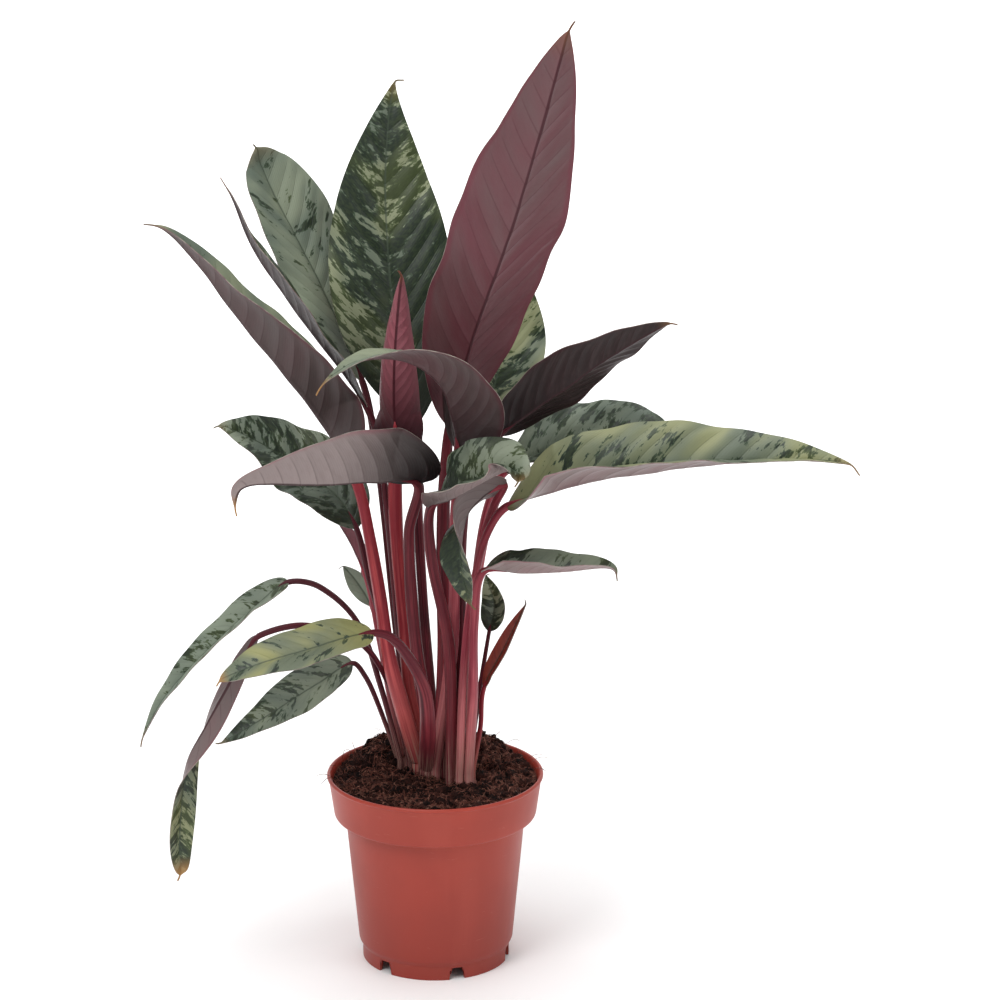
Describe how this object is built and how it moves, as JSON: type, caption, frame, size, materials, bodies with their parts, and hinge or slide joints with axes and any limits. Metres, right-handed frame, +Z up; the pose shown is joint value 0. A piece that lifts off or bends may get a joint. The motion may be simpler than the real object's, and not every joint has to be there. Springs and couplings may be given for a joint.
{
  "type": "potted sword plant",
  "caption": "Leafy foliage plant with lance-shaped mottled blades on red stalks, rooted in coir mix in a round tapered nursery pot with a stepped collar.",
  "frame": {"origin": "centre of the pot's underside, on the surface it stands on", "axes": "+Z up along the pot's axis, -Y towards the front of the plant, +X to its right"},
  "size_m": [0.3893, 0.1873, 0.5417],
  "materials": {
    "pot_plastic": "satin moulded terracotta-coloured plastic",
    "coir_mix": "rough dark fibrous potting mix",
    "crown_tissue": "pale pink fibrous shoot base",
    "stalk_skin": "satin red-pink stalk with fine streaks",
    "leaf_blade": "satin, mottled green above and mauve below"
  },
  "bodies": {
    "root": {"arching_front_blade": "leaf_blade", "arching_front_stalk": "stalk_skin", "back_left_blade": "leaf_blade", "back_left_stalk": "stalk_skin", "back_right_blade": "leaf_blade", "back_right_stalk": "stalk_skin", "edgewise_left_blade": "leaf_blade", "edgewise_left_stalk": "stalk_skin", "folded_centre_blade": "leaf_blade", "folded_centre_stalk": "stalk_skin", "front_left_blade": "leaf_blade", "front_left_stalk": "stalk_skin", "hanging_left_blade": "leaf_blade", "hanging_left_stalk": "stalk_skin", "hanging_right_blade": "leaf_blade", "hanging_right_stalk": "stalk_skin", "left_crown": "crown_tissue", "level_left_blade": "leaf_blade", "level_left_stalk": "stalk_skin", "long_left_blade": "leaf_blade", "long_left_stalk": "stalk_skin", "long_right_blade": "leaf_blade", "long_right_stalk": "stalk_skin", "low_left_blade": "leaf_blade", "low_left_stalk": "stalk_skin", "low_right_blade": "leaf_blade", "low_right_stalk": "stalk_skin", "mid_right_blade": "leaf_blade", "mid_right_stalk": "stalk_skin", "middle_crown": "crown_tissue", "nursery_pot": "pot_plastic", "potting_mix": "coir_mix", "red_lance_blade": "leaf_blade", "red_lance_stalk": "stalk_skin", "right_crown": "crown_tissue", "rolled_young_blade": "leaf_blade", "rolled_young_stalk": "stalk_skin", "short_left_blade": "leaf_blade", "short_left_stalk": "stalk_skin", "small_right_blade": "leaf_blade", "small_right_stalk": "stalk_skin", "tall_back_blade": "leaf_blade", "tall_back_stalk": "stalk_skin", "tall_front_blade": "leaf_blade", "tall_front_stalk": "stalk_skin", "tiny_left_blade": "leaf_blade", "tiny_left_stalk": "stalk_skin", "under_left_blade": "leaf_blade", "under_left_stalk": "stalk_skin", "upper_right_blade": "leaf_blade", "upper_right_stalk": "stalk_skin", "winged_left_blade": "leaf_blade", "winged_left_stalk": "stalk_skin"}
  },
  "joints": []
}
